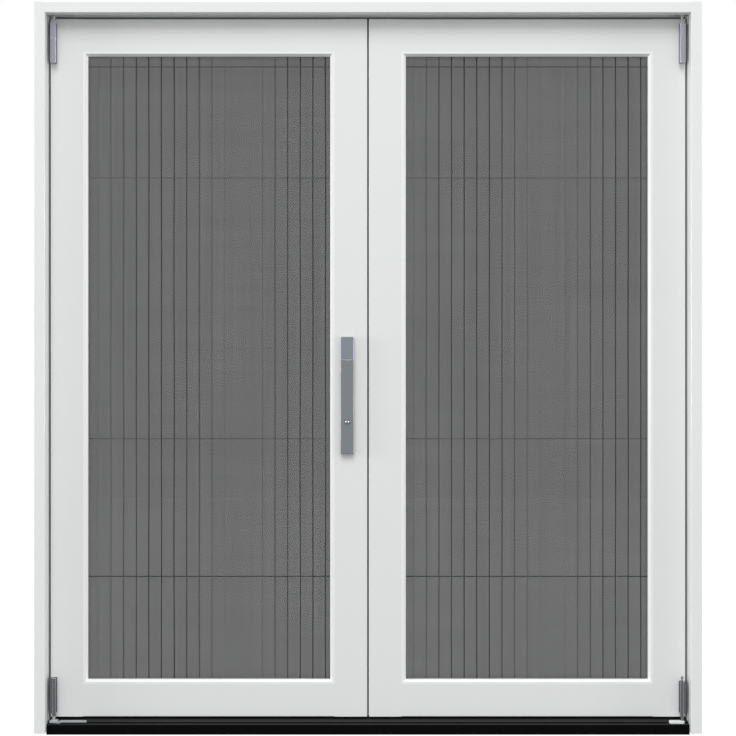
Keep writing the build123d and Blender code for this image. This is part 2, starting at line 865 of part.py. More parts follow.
def guide_block():
    floor, roller_top, cap_bottom, cap_top = guide_levels()
    centre = -pin_x
    cap = block(
        (centre - guide_cap_half_length, centre + guide_cap_half_length),
        (pin_y - guide_cap_half_width, pin_y + guide_cap_half_width),
        (cap_bottom, cap_top),
    )
    cap = chamfer(cap.faces().sort_by(Axis.Z)[-1].edges(), edge_chamfer)
    keel_y = (pin_y - guide_shoe_half_width, pin_y + guide_shoe_half_width)
    neck_start = centre + guide_roller_radius + guide_clearance
    shoe_start = centre + guide_shoe_start
    neck = block((neck_start, shoe_start), keel_y, (floor, cap_top - guide_neck_drop))
    shoe_x = (shoe_start, shoe_start + guide_shoe_length)
    shoe = block(shoe_x, keel_y, (cap_bottom, cap_bottom + guide_shoe_height))
    far_edges = shoe.edges().filter_by(Axis.Z).sort_by(Axis.X)[-2:]
    shoe = fillet(far_edges, guide_shoe_half_width - edge_chamfer)
    pin = rod_along_z(centre, pin_y, pin_radius, (cap_top, leaf_bottom_z + left_bottom_hinge_length))
    collar = rod_along_z(centre, pin_y, pin_radius, (roller_top + guide_roller_gap, cap_bottom))
    spigot = rod_along_z(centre, pin_y, guide_spigot_radius, (floor, roller_top + guide_roller_gap))
    return cap + neck + shoe + pin + collar + spigot


def guide_roller():
    floor, roller_top, _, _ = guide_levels()
    body = rod_along_z(-pin_x, pin_y, guide_roller_radius, (floor, roller_top))
    bore = guide_spigot_radius + running_clearance
    return body - rod_along_z(-pin_x, pin_y, bore, (floor, roller_top))


def channel(y_half, wall, z_open, z_closed, x_span):
    toward = 1 if z_closed > z_open else -1
    floor = z_closed - toward * wall
    points = [
        (screen_y - y_half, z_open),
        (screen_y - y_half, z_closed),
        (screen_y + y_half, z_closed),
        (screen_y + y_half, z_open),
        (screen_y + y_half - wall, z_open),
        (screen_y + y_half - wall, floor),
        (screen_y - y_half + wall, floor),
        (screen_y - y_half + wall, z_open),
    ]
    return prism_along_x(points, x_span)


def screen_cassette():
    inner = cassette_half - cassette_wall
    points = [
        (cassette_x, screen_y - cassette_half),
        (opening_half, screen_y - cassette_half),
        (opening_half, screen_y + cassette_half),
        (cassette_x, screen_y + cassette_half),
        (cassette_x, screen_y + inner),
        (mesh_end_x, screen_y + inner),
        (mesh_end_x, screen_y - inner),
        (cassette_x, screen_y - inner),
    ]
    return prism_along_z(points, (sill_inner_height, head_under_z))


def pull_bar():
    z_span = (
        sill_inner_height + rail_wall + pull_bar_end_clearance,
        head_under_z - rail_wall - pull_bar_end_clearance,
    )
    x_span = (pull_bar_x, pull_bar_x + pull_bar_width)
    outside = block(x_span, (screen_y - pull_bar_half, screen_y + pull_bar_half), z_span)
    outside = chamfer(outside.edges().filter_by(Axis.Z), edge_chamfer)
    inner_half = pull_bar_half - pull_bar_wall
    inside_x = (x_span[0] + pull_bar_wall, x_span[1] - pull_bar_wall)
    return outside - block(inside_x, (screen_y - inner_half, screen_y + inner_half), z_span)


def pull_grip():
    middle_z = between(grip_height_share, mesh_bottom_z, mesh_top_z)
    middle_x = pull_bar_x + pull_bar_width / 2
    low_x = middle_x - grip_width / 2
    high_x = middle_x + grip_width / 2
    base_y = screen_y + pull_bar_half
    points = [
        (low_x, base_y),
        (high_x, base_y),
        (high_x, base_y + grip_lip),
        (low_x + grip_lip, base_y + grip_lip),
        (low_x + grip_lip, base_y + grip_reach - grip_lip),
        (high_x - grip_lip, base_y + grip_reach - grip_lip),
        (high_x - grip_lip, base_y + grip_reach),
        (low_x + edge_chamfer, base_y + grip_reach),
        (low_x, base_y + grip_reach - edge_chamfer),
    ]
    return prism_along_z(points, (middle_z - grip_height / 2, middle_z + grip_height / 2))


def pleated_mesh():
    pitch = (mesh_end_x - mesh_start_x) / pleat_count
    folds = []
    for index in range(2 * pleat_count + 1):
        side = 1 if index % 2 else -1
        folds.append((mesh_start_x + index * pitch / 2, screen_y + side * pleat_half_depth))
    front = [(x, y - mesh_thickness / 2) for x, y in folds]
    back = [(x, y + mesh_thickness / 2) for x, y in reversed(folds)]
    return prism_along_z(front + back, (mesh_bottom_z, mesh_top_z))


def screen_strings():
    heights = [between(share, mesh_bottom_z, mesh_top_z) for share in string_height_shares]
    return [rod_along_x(screen_y, z, string_radius, (mesh_start_x, mesh_end_x)) for z in heights]


def build_frame():
    jamb = right_jamb()
    save("right_jamb", jamb)
    save("left_jamb", to_left(jamb))
    save("head", head())
    save("sill", sill())
    save("head_track", head_track())
    save("sill_track", sill_track())
    save("door_stops", *door_stops())
    save("perimeter_seal", *perimeter_seal())
    screws = [frame_screw(y, z) for y, z in screw_places]
    save("frame_screws", *screws, *[to_left(screw) for screw in screws])
    save("bolt_keepers", *bolt_keepers())
    save("top_pivot_block", top_pivot_block())
    save("bottom_pivot_shoe", bottom_pivot_shoe())
    save("bottom_pivot_pin", bottom_pivot_pin())


def build_leaves():
    pieces = leaf_pieces()
    for name, solids in pieces.items():
        save("right_" + name, *solids)
        mirrored = [to_left(solid) for solid in solids]
        if name == "inner_stile":
            mirrored = [left_inner_stile(mirrored[0])]
        save("left_" + name, *mirrored)
    save("right_bottom_hinge", right_shape_bottom_hinge(right_bottom_hinge_length))
    save("left_bottom_hinge", to_left(right_shape_bottom_hinge(left_bottom_hinge_length)))
    heights = fold_hinge_heights()
    save("fold_hinge_right_plates", *[fold_plate(z, 1, 0) for z in heights])
    save("fold_hinge_left_plates", *[fold_plate(z, -1, 1) for z in heights])
    save("fold_hinge_pins", *[fold_pin(z) for z in heights])
    save("meeting_seal", meeting_seal())


def build_handle():
    bottom_end, top_end = bolt_ends()
    save("handle_backplate", backplate())
    save("handle_gearbox", gearbox())
    save("handle_hub", hub())
    save("handle_lever", lever())
    save("lever_pin", lever_pin())
    save("lock_button", lock_button())
    save("top_bolt", bolt((top_end, leaf_top_z - bolt_shy), -1))
    save("bottom_bolt", bolt((leaf_bottom_z + bolt_shy, bottom_end), 0))


def build_running_gear():
    save("carriage", carriage())
    save("trailing_wheels", wheel_set(trailing_axle_offset))
    save("leading_wheels", wheel_set(leading_axle_offset))
    save("guide_block", guide_block())
    save("guide_roller", guide_roller())


def build_screen():
    rail_run = (-opening_half, cassette_x)
    bottom_open = sill_inner_height + bottom_rail_height
    top_open = head_under_z - top_rail_height
    save("screen_cassette", screen_cassette())
    save("screen_top_rail", channel(rail_half, rail_wall, top_open, head_under_z, rail_run))
    save("screen_bottom_rail", channel(rail_half, rail_wall, bottom_open, sill_inner_height, rail_run))
    strike_y = (screen_y - pull_bar_half, screen_y + pull_bar_half)
    strike_x = (-opening_half, -opening_half + strike_width)
    save("screen_strike", block(strike_x, strike_y, (bottom_open, top_open)))
    save("pull_bar", pull_bar())
    save("pull_grip", pull_grip())
    save("screen_mesh", pleated_mesh())
    save("screen_strings", *screen_strings())


build_frame()
build_leaves()
build_handle()
build_running_gear()
build_screen()
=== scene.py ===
import json
import math

import bpy
import numpy as np
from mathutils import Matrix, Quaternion, Vector


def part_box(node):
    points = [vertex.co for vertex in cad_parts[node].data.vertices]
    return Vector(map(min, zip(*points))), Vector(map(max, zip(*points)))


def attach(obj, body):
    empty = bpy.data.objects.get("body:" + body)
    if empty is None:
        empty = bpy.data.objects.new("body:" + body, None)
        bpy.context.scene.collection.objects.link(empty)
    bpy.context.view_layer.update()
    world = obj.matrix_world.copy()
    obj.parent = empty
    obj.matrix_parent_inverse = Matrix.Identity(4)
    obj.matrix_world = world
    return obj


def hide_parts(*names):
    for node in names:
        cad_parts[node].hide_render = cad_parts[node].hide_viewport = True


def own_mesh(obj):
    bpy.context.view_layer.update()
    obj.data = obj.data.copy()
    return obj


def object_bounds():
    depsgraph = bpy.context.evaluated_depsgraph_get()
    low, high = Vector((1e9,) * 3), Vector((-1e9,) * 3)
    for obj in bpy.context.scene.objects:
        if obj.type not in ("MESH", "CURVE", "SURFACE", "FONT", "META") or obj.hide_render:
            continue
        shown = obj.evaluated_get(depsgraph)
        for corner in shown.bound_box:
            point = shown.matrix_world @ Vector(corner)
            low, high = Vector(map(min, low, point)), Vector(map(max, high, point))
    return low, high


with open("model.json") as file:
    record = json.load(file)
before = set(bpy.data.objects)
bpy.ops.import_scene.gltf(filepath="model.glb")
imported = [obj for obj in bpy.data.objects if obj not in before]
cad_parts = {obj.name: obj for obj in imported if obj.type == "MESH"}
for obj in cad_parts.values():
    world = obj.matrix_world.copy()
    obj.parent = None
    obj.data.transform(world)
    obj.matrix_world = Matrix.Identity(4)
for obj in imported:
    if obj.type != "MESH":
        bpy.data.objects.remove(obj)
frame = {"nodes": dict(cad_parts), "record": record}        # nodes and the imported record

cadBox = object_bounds()
record = frame["record"]
nodes = frame["nodes"]
print("frame loaded:", len(nodes), "nodes")


# shader helpers

# a socket is linked, anything else becomes the input's value
def fillInputs(tree, node, inputs):
    for key, value in inputs.items():
        if isinstance(value, bpy.types.NodeSocket):
            tree.links.new(value, node.inputs[key])
        else:
            node.inputs[key].default_value = value
    return node


def addNode(tree, kind, inputs, **settings):
    node = tree.nodes.new(kind)
    for key, value in settings.items():
        setattr(node, key, value)
    return fillInputs(tree, node, inputs)


def mathNode(tree, operation, first, second=0.0, third=0.0):
    inputs = {0: first, 1: second, 2: third}
    return addNode(tree, "ShaderNodeMath", inputs, operation=operation).outputs[0]


def noiseNode(tree, place, scale, detail, roughness=0.5):
    return addNode(tree, "ShaderNodeTexNoise", {
        "Vector": place, "Scale": scale, "Detail": detail, "Roughness": roughness}).outputs["Fac"]


def stretched(tree, place, stretch):
    pulled = addNode(tree, "ShaderNodeVectorMath", {0: place, 1: stretch}, operation="MULTIPLY")
    return pulled.outputs["Vector"]


def clamped(tree, value):
    return addNode(tree, "ShaderNodeClamp", {"Value": value}).outputs[0]


def newGroup(name, inputs, outputs):
    tree = bpy.data.node_groups.new(name, "ShaderNodeTree")
    for socketName, kind, value in inputs:
        socket = tree.interface.new_socket(socketName, in_out="INPUT", socket_type=kind)
        socket.default_value = value
    for socketName, kind in outputs:
        tree.interface.new_socket(socketName, in_out="OUTPUT", socket_type=kind)
    start = tree.nodes.new("NodeGroupInput")
    end = tree.nodes.new("NodeGroupOutput")
    return tree, start, end


def placeGroup(tree, group, inputs):
    node = tree.nodes.new("ShaderNodeGroup")
    node.node_tree = group
    return fillInputs(tree, node, inputs)


def rgb(red, green, blue):
    return (red, green, blue, 1.0)


floatKind = "NodeSocketFloat"
colourKind = "NodeSocketColor"
vectorKind = "NodeSocketVector"


def tinted(tree, colour, brightness):
    return addNode(tree, "ShaderNodeHueSaturation", {"Color": colour, "Value": brightness}).outputs["Color"]


# sprayed paint: broad mottle, fine orange peel, uneven gloss
skinSettings = {"broadScale": 2.6, "broadDetail": 4.0, "middleScale": 31.0, "middleDetail": 3.0,
                "peelDetail": 2.0}


def makePaintSkin():
    settings = skinSettings
    tree, start, end = newGroup(
        "paintSkin",
        [("Colour", colourKind, rgb(0.8, 0.8, 0.8)), ("Mottle", floatKind, 0.03), ("Peel", floatKind, 420.0),
         ("Gloss", floatKind, 0.35), ("Spread", floatKind, 0.08)],
        [("Colour", colourKind), ("Roughness", floatKind), ("Height", floatKind)])
    place = tree.nodes.new("ShaderNodeTexCoord").outputs["Object"]
    broad = noiseNode(tree, place, settings["broadScale"], settings["broadDetail"])
    peel = noiseNode(tree, place, start.outputs["Peel"], settings["peelDetail"])
    middle = noiseNode(tree, place, settings["middleScale"], settings["middleDetail"])
    swing = mathNode(tree, "SUBTRACT", broad, 0.5)
    brightness = mathNode(tree, "MULTIPLY_ADD", swing, start.outputs["Mottle"], 1.0)
    unevenness = mathNode(tree, "SUBTRACT", middle, 0.5)
    gloss = mathNode(tree, "MULTIPLY_ADD", unevenness, start.outputs["Spread"], start.outputs["Gloss"])
    tree.links.new(tinted(tree, start.outputs["Colour"], brightness), end.inputs["Colour"])
    tree.links.new(gloss, end.inputs["Roughness"])
    tree.links.new(peel, end.inputs["Height"])
    return tree


# drawn or brushed metal: long streaks along one axis
streakSettings = {"detail": 4.0, "glossSwing": 0.25}


def makeBrushedMetal():
    tree, start, end = newGroup(
        "brushedMetal",
        [("Colour", colourKind, rgb(0.5, 0.5, 0.5)), ("Streak", floatKind, 0.2), ("Gloss", floatKind, 0.3),
         ("Stretch", vectorKind, (600.0, 600.0, 6.0))],
        [("Colour", colourKind), ("Roughness", floatKind), ("Height", floatKind)])
    place = tree.nodes.new("ShaderNodeTexCoord").outputs["Object"]
    pulled = stretched(tree, place, start.outputs["Stretch"])
    streaks = noiseNode(tree, pulled, 1.0, streakSettings["detail"])
    swing = mathNode(tree, "SUBTRACT", streaks, 0.5)
    brightness = mathNode(tree, "MULTIPLY_ADD", swing, start.outputs["Streak"], 1.0)
    gloss = mathNode(tree, "MULTIPLY_ADD", swing, streakSettings["glossSwing"], start.outputs["Gloss"])
    tree.links.new(tinted(tree, start.outputs["Colour"], brightness), end.inputs["Colour"])
    tree.links.new(gloss, end.inputs["Roughness"])
    tree.links.new(streaks, end.inputs["Height"])
    return tree


# specks of dust and small rubs, as a mask
dustSettings = {"detail": 6.0, "roughness": 0.7, "edgeGain": 4.0}


def makeDustSpecks():
    settings = dustSettings
    tree, start, end = newGroup(
        "dustSpecks",
        [("Scale", floatKind, 60.0), ("Cover", floatKind, 0.35)],
        [("Mask", floatKind)])
    place = tree.nodes.new("ShaderNodeTexCoord").outputs["Object"]
    cloud = noiseNode(tree, place, start.outputs["Scale"], settings["detail"], settings["roughness"])
    bare = mathNode(tree, "SUBTRACT", 1.0, start.outputs["Cover"])
    rise = mathNode(tree, "SUBTRACT", cloud, bare)
    mask = clamped(tree, mathNode(tree, "MULTIPLY", rise, settings["edgeGain"]))
    tree.links.new(mask, end.inputs["Mask"])
    return tree


# plain weave over the cloth's own flat coordinates, in metres, with slubs along both threads
slubSettings = {"stretch": 0.02, "detail": 2.0}


def makeFineWeave():
    tree, start, end = newGroup(
        "fineWeave",
        [("Pitch", floatKind, 0.0024), ("Slubs", floatKind, 60.0)],
        [("Threads", floatKind), ("Height", floatKind), ("Slubs", floatKind)])
    flat = tree.nodes.new("ShaderNodeTexCoord").outputs["UV"]
    parts = addNode(tree, "ShaderNodeSeparateXYZ", {0: flat})
    waves = []
    streaks = []
    for axis in (0, 1):
        stretch = [slubSettings["stretch"], slubSettings["stretch"], 0.0]
        stretch[axis] = 1.0
        pulled = stretched(tree, flat, stretch)
        streaks.append(noiseNode(tree, pulled, start.outputs["Slubs"], slubSettings["detail"]))
        turns = mathNode(tree, "DIVIDE", parts.outputs[axis], start.outputs["Pitch"])
        wave = mathNode(tree, "SINE", mathNode(tree, "MULTIPLY", turns, 2 * math.pi))
        waves.append(mathNode(tree, "MULTIPLY_ADD", wave, 0.5, 0.5))
    threads = mathNode(tree, "MAXIMUM", waves[0], waves[1])
    tree.links.new(threads, end.inputs["Threads"])
    slubs = mathNode(tree, "SUBTRACT", mathNode(tree, "ADD", streaks[0], streaks[1]), 1.0)
    tree.links.new(slubs, end.inputs["Slubs"])
    tree.links.new(mathNode(tree, "MULTIPLY", waves[0], waves[1]), end.inputs["Height"])
    return tree


paintSkin = makePaintSkin()
brushedMetal = makeBrushedMetal()
dustSpecks = makeDustSpecks()
fineWeave = makeFineWeave()
print("node groups ready")


# materials

def newMaterial(name):
    material = bpy.data.materials.new(name)
    material.use_nodes = True
    tree = material.node_tree
    return material, tree, tree.nodes["Principled BSDF"]


def bumpFrom(tree, shader, height, strength, distance):
    bump = addNode(tree, "ShaderNodeBump", {"Height": height, "Strength": strength, "Distance": distance})
    tree.links.new(bump.outputs["Normal"], shader.inputs["Normal"])


def mixedColour(mix):
    return [socket for socket in mix.outputs if socket.type == "RGBA"][0]


def paintedMaterial(name, look):
    material, tree, shader = newMaterial(name)
    skin = placeGroup(tree, paintSkin, {
        "Colour": rgb(*look["colour"]), "Mottle": look["mottle"], "Peel": look["peel"],
        "Gloss": look["gloss"], "Spread": look["spread"]})
    dust = placeGroup(tree, dustSpecks, {"Scale": look["dustScale"], "Cover": look["dustCover"]})
    faded = addNode(tree, "ShaderNodeMix", {
        "Factor": mathNode(tree, "MULTIPLY", dust.outputs["Mask"], look["dustShow"]),
        "A": skin.outputs["Colour"], "B": rgb(*look["dustColour"])}, data_type="RGBA")
    colour = mixedColour(faded)
    # painted light: faces that point up get a lighter colour, standing in for the overhead light falling on
    # them
    if "paintedTopLightColour" in look:
        normal = tree.nodes.new("ShaderNodeTexCoord").outputs["Normal"]
        upward = addNode(tree, "ShaderNodeSeparateXYZ", {0: normal}).outputs[2]
        paintedLightOnTop = mathNode(tree, "POWER", clamped(tree, upward), look["paintedTopLightEdge"])
        colour = mixedColour(addNode(tree, "ShaderNodeMix", {
            "Factor": paintedLightOnTop, "A": colour, "B": rgb(*look["paintedTopLightColour"])}, data_type="RGBA"))
    tree.links.new(colour, shader.inputs["Base Color"])
    tree.links.new(skin.outputs["Roughness"], shader.inputs["Roughness"])
    shader.inputs["Coat Weight"].default_value = look["coat"]
    shader.inputs["Metallic"].default_value = look["metallic"]
    shader.inputs["Specular IOR Level"].default_value = look["specular"]
    bumpFrom(tree, shader, skin.outputs["Height"], look["bump"], look["bumpDepth"])
    return material


whitePaintLook = {
    "colour": (0.83, 0.84, 0.84), "mottle": 0.03, "peel": 380.0, "gloss": 0.42, "spread": 0.1, "coat": 0.15,
    "metallic": 0.0, "specular": 0.4, "bump": 0.12, "bumpDepth": 0.0002,
    "dustScale": 7.0, "dustCover": 0.42, "dustShow": 0.04, "dustColour": (0.6, 0.58, 0.55)}
# the black sill's top is painted lighter than its front, as painted light from above
blackSillLook = dict(
    whitePaintLook, colour=(0.004, 0.004, 0.0042), paintedTopLightColour=(0.045, 0.046, 0.048), paintedTopLightEdge=3.0,
    mottle=0.2, gloss=0.4, coat=0.0, specular=0.03, bump=0.1,
    dustScale=38.0, dustCover=0.45, dustColour=(0.06, 0.058, 0.055))
greyHardwareLook = dict(
    whitePaintLook, colour=(0.31, 0.32, 0.335), mottle=0.12, gloss=0.26, coat=0.0, metallic=0.85,
    dustShow=0.06)
greyHandleLook = dict(
    whitePaintLook, colour=(0.3, 0.325, 0.345), mottle=0.1, peel=700.0, gloss=0.36, coat=0.05, metallic=0.45,
    bump=0.08, dustShow=0.03)


def metalMaterial(name, look):
    material, tree, shader = newMaterial(name)
    metal = placeGroup(tree, brushedMetal, {
        "Colour": rgb(*look["colour"]), "Streak": look["streak"], "Gloss": look["gloss"],
        "Stretch": look["stretch"]})
    tree.links.new(metal.outputs["Colour"], shader.inputs["Base Color"])
    tree.links.new(metal.outputs["Roughness"], shader.inputs["Roughness"])
    shader.inputs["Metallic"].default_value = 1.0
    bumpFrom(tree, shader, metal.outputs["Height"], look["bump"], look["bumpDepth"])
    return material


steelLook = {"colour": (0.56, 0.57, 0.58), "streak": 0.25, "gloss": 0.28, "stretch": (700.0, 700.0, 9.0),
             "bump": 0.15, "bumpDepth": 0.0001}
spacerLook = dict(steelLook, colour=(0.45, 0.46, 0.47), gloss=0.5, stretch=(300.0, 300.0, 300.0))
buttonLook = dict(steelLook, colour=(0.88, 0.88, 0.88), gloss=0.08, streak=0.06, bump=0.04)


def mouldedMaterial(name, look):
    material, tree, shader = newMaterial(name)
    skin = placeGroup(tree, paintSkin, {
        "Colour": rgb(*look["colour"]), "Mottle": look["mottle"], "Peel": look["grain"],
        "Gloss": look["gloss"], "Spread": look["spread"]})
    tree.links.new(skin.outputs["Colour"], shader.inputs["Base Color"])
    tree.links.new(skin.outputs["Roughness"], shader.inputs["Roughness"])
    bumpFrom(tree, shader, skin.outputs["Height"], look["bump"], look["bumpDepth"])
    return material


rubberLook = {"colour": (0.022, 0.022, 0.023), "mottle": 0.3, "grain": 900.0, "gloss": 0.72, "spread": 0.12,
              "bump": 0.35, "bumpDepth": 0.0003}
blackNylonLook = dict(rubberLook, colour=(0.03, 0.03, 0.032), mottle=0.2, grain=1200.0, gloss=0.48, bump=0.2)
lightNylonLook = dict(blackNylonLook, colour=(0.43, 0.44, 0.455), mottle=0.08, gloss=0.45)

glassLook = {"tint": (0.971, 0.975, 0.973), "ior": 1.2, "smear": 0.02, "smearScale": 5.0, "smearCover": 0.5}


# clear pane: refracts for the eye, lets light straight through
def glassMaterial():
    material, tree, shader = newMaterial("clearPane")
    shader.inputs["Base Color"].default_value = rgb(*glassLook["tint"])
    shader.inputs["Transmission Weight"].default_value = 1.0
    shader.inputs["IOR"].default_value = glassLook["ior"]
    smear = placeGroup(tree, dustSpecks, {"Scale": glassLook["smearScale"], "Cover": glassLook["smearCover"]})
    rough = mathNode(tree, "MULTIPLY", smear.outputs["Mask"], glassLook["smear"])
    tree.links.new(rough, shader.inputs["Roughness"])
    path = tree.nodes.new("ShaderNodeLightPath")
    straight = mathNode(tree, "MAXIMUM", path.outputs["Is Shadow Ray"], path.outputs["Is Diffuse Ray"])
    through = addNode(tree, "ShaderNodeBsdfTransparent", {"Color": rgb(*glassLook["tint"])})
    mix = addNode(tree, "ShaderNodeMixShader",
                  {0: straight, 1: shader.outputs[0], 2: through.outputs[0]})
    tree.links.new(mix.outputs[0], tree.nodes["Material Output"].inputs["Surface"])
    return material


# pleated insect cloth, also used by the code that folds it
clothSettings = {
    "pleats": 48, "columnsPerPleat": 10, "rows": 44, "halfDepth": 0.0078, "foldSharpness": 0.985,
    "thickness": 0.0004, "sway": 0.0006, "swayWaves": 2.5, "depthLoss": 0.05, "depthWaves": 3, "seed": 11,
    "smoothAngle": 35, "colour": (0.03, 0.031, 0.032), "mottle": 0.25, "grain": 300.0, "gloss": 0.85,
    "spread": 0.1, "specular": 0.15, "bump": 0.3, "bumpDepth": 0.0003, "cover": 0.65,
    "weavePitch": 0.0026, "weaveMiddle": 0.7, "weaveShow": 0.1, "slubScale": 60.0, "slubShow": 0.07}
# creases show in slow beats along the screen, strong every dozen pleats or so
creaseSettings = {"halfWidth": 0.0027, "edge": 0.5, "show": 0.36, "least": 0.05, "beatPleats": 12.28,
                  "beatStart": 7.1, "beatEdge": 0.88}
screenBox = [Vector(corner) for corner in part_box("screen_mesh")]
pleatPitch = (screenBox[1].x - screenBox[0].x) / clothSettings["pleats"]
pleatFlat = 2 * math.hypot(pleatPitch / 2, 2 * clothSettings["halfDepth"])


def creaseMask(tree, flat):
    settings = creaseSettings
    along = addNode(tree, "ShaderNodeSeparateXYZ", {0: flat}).outputs[0]
    pleat = mathNode(tree, "DIVIDE", along, pleatFlat)
    nearest = mathNode(tree, "ABSOLUTE", mathNode(tree, "SUBTRACT", pleat, mathNode(tree, "ROUND", pleat)))
    away = mathNode(tree, "DIVIDE", nearest, settings["halfWidth"] / pleatFlat)
    crease = mathNode(tree, "POWER", clamped(tree, mathNode(tree, "SUBTRACT", 1.0, away)), settings["edge"])
    turn = mathNode(tree, "SUBTRACT", pleat, settings["beatStart"])
    turn = mathNode(tree, "MULTIPLY", turn, 2 * math.pi / settings["beatPleats"])
    beat = mathNode(tree, "MULTIPLY_ADD", mathNode(tree, "COSINE", turn), 0.5, 0.5)
    beat = mathNode(tree, "POWER", beat, settings["beatEdge"])
    strength = mathNode(tree, "MULTIPLY_ADD", beat, 1 - settings["least"], settings["least"])
    return mathNode(tree, "MULTIPLY", crease, strength)


def clothMaterial():
    settings = clothSettings
    material, tree, shader = newMaterial("insectCloth")
    weave = placeGroup(tree, fineWeave, {"Pitch": settings["weavePitch"], "Slubs": settings["slubScale"]})
    crease = creaseMask(tree, tree.nodes.new("ShaderNodeTexCoord").outputs["UV"])
    thread = mathNode(tree, "SUBTRACT", weave.outputs["Threads"], settings["weaveMiddle"])
    cover = mathNode(tree, "MULTIPLY_ADD", thread, settings["weaveShow"], settings["cover"])
    cover = mathNode(tree, "MULTIPLY_ADD", weave.outputs["Slubs"], settings["slubShow"], cover)
    cover = mathNode(tree, "MULTIPLY_ADD", crease, creaseSettings["show"], cover)
    tree.links.new(clamped(tree, cover), shader.inputs["Alpha"])
    skin = placeGroup(tree, paintSkin, {
        "Colour": rgb(*settings["colour"]), "Mottle": settings["mottle"], "Peel": settings["grain"],
        "Gloss": settings["gloss"], "Spread": settings["spread"]})
    tree.links.new(skin.outputs["Colour"], shader.inputs["Base Color"])
    tree.links.new(skin.outputs["Roughness"], shader.inputs["Roughness"])
    shader.inputs["Specular IOR Level"].default_value = settings["specular"]
    bumpFrom(tree, shader, weave.outputs["Height"], settings["bump"], settings["bumpDepth"])
    return material


materialOfSlot = {
    "white_frame": paintedMaterial("whiteFramePaint", whitePaintLook),
    "white_leaf": paintedMaterial("whiteLeafPaint", dict(whitePaintLook, colour=(0.815, 0.825, 0.82))),
    "white_screen_frame": paintedMaterial("whiteScreenPaint", dict(whitePaintLook, gloss=0.36)),
    "black_sill": paintedMaterial("blackSillPaint", blackSillLook),
    "grey_hardware": paintedMaterial("greyHingePaint", greyHardwareLook),
    "grey_handle": paintedMaterial("greyHandlePaint", greyHandleLook),
    "spacer_bar": metalMaterial("spacerBar", spacerLook),
    "steel": metalMaterial("drawnSteel", steelLook),
    "bright_button": metalMaterial("polishedButton", buttonLook),
    "black_rubber": mouldedMaterial("sealRubber", rubberLook),
    "black_nylon": mouldedMaterial("wheelNylon", blackNylonLook),
    "light_nylon": mouldedMaterial("shoeNylon", lightNylonLook),
    "glass": glassMaterial(),
    "screen_cloth": clothMaterial(),
    "dark_string": mouldedMaterial("threadFibre", dict(rubberLook, grain=2500.0)),
}
# painted highlight: the glazing beads are the leaf's white paint, painted lighter to stand in for the light
# catching their bevels
paintedHighlightBeads = paintedMaterial("whiteBeadPaintedHighlight", dict(whitePaintLook, colour=(0.9, 0.91, 0.905), gloss=0.34))
# painted light: the top hinges are the same grey hardware as the bottom ones, painted lighter and bluer to
# stand in for the light on them
paintedLightTopHingeLook = dict(greyHardwareLook, colour=(0.48, 0.5, 0.54), metallic=0.6)
paintedLightTopHinge = paintedMaterial("paintedLightTopHinge", paintedLightTopHingeLook)
# painted light: the meeting seal is black rubber, painted mid grey so the shaded gap between the leaves reads
# lighter
paintedLightMeetingSeal = mouldedMaterial("meetingSealPaintedGrey", dict(rubberLook, colour=(0.27, 0.272, 0.272)))
hubPaint = paintedMaterial("greyHubPaint", dict(greyHandleLook, colour=(0.34, 0.37, 0.42)))
shoeNylon = mouldedMaterial("whiteShoeNylon", dict(lightNylonLook, colour=(0.8, 0.81, 0.82)))
materialOfNode = {
    "left_glazing_beads": paintedHighlightBeads, "right_glazing_beads": paintedHighlightBeads, "left_top_hinge": paintedLightTopHinge,
    "right_top_hinge": paintedLightTopHinge, "meeting_seal": paintedLightMeetingSeal, "bottom_pivot_shoe": shoeNylon,
    "handle_hub": hubPaint}
for row in record["subparts"]:
    for slot in nodes[row["node"]].material_slots:
        slot.material = materialOfNode.get(row["node"], materialOfSlot[row["material_slot"]])
print("materials placed on", len(record["subparts"]), "nodes")


# modelling helpers

def deselectAll():
    if bpy.context.mode != "OBJECT":
        bpy.ops.object.mode_set(mode="OBJECT")
    bpy.ops.object.select_all(action="DESELECT")


def makeActive(piece):
    deselectAll()
    piece.select_set(True)
    bpy.context.view_layer.objects.active = piece


def applyModifier(piece, kind, **settings):
    makeActive(piece)
    modifier = piece.modifiers.new(kind.lower(), kind)
    for key, value in settings.items():
        setattr(modifier, key, value)
    bpy.ops.object.modifier_apply(modifier=modifier.name)


def bakePlace(piece):
    makeActive(piece)
    bpy.ops.object.transform_apply(location=True, rotation=True, scale=True)


def joinPieces(pieces):
    deselectAll()
    for piece in pieces:
        piece.select_set(True)
    bpy.context.view_layer.objects.active = pieces[0]
    bpy.ops.object.join()
    return bpy.context.active_object


# middle heights of a node's separate solids, which lie one above the other
def heightsOf(node, leastGap):
    heights = np.sort([vertex.co.z for vertex in nodes[node].data.vertices])
    groups = np.split(heights, np.where(np.diff(heights) > leastGap)[0] + 1)
    return [(group[0] + group[-1]) / 2 for group in groups]


def finishPiece(piece, name, body, slotName):
    piece.name = name
    piece.data.name = name
    piece.data.materials.clear()
    piece.data.materials.append(materialOfSlot[slotName])
    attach(piece, body)
    return piece


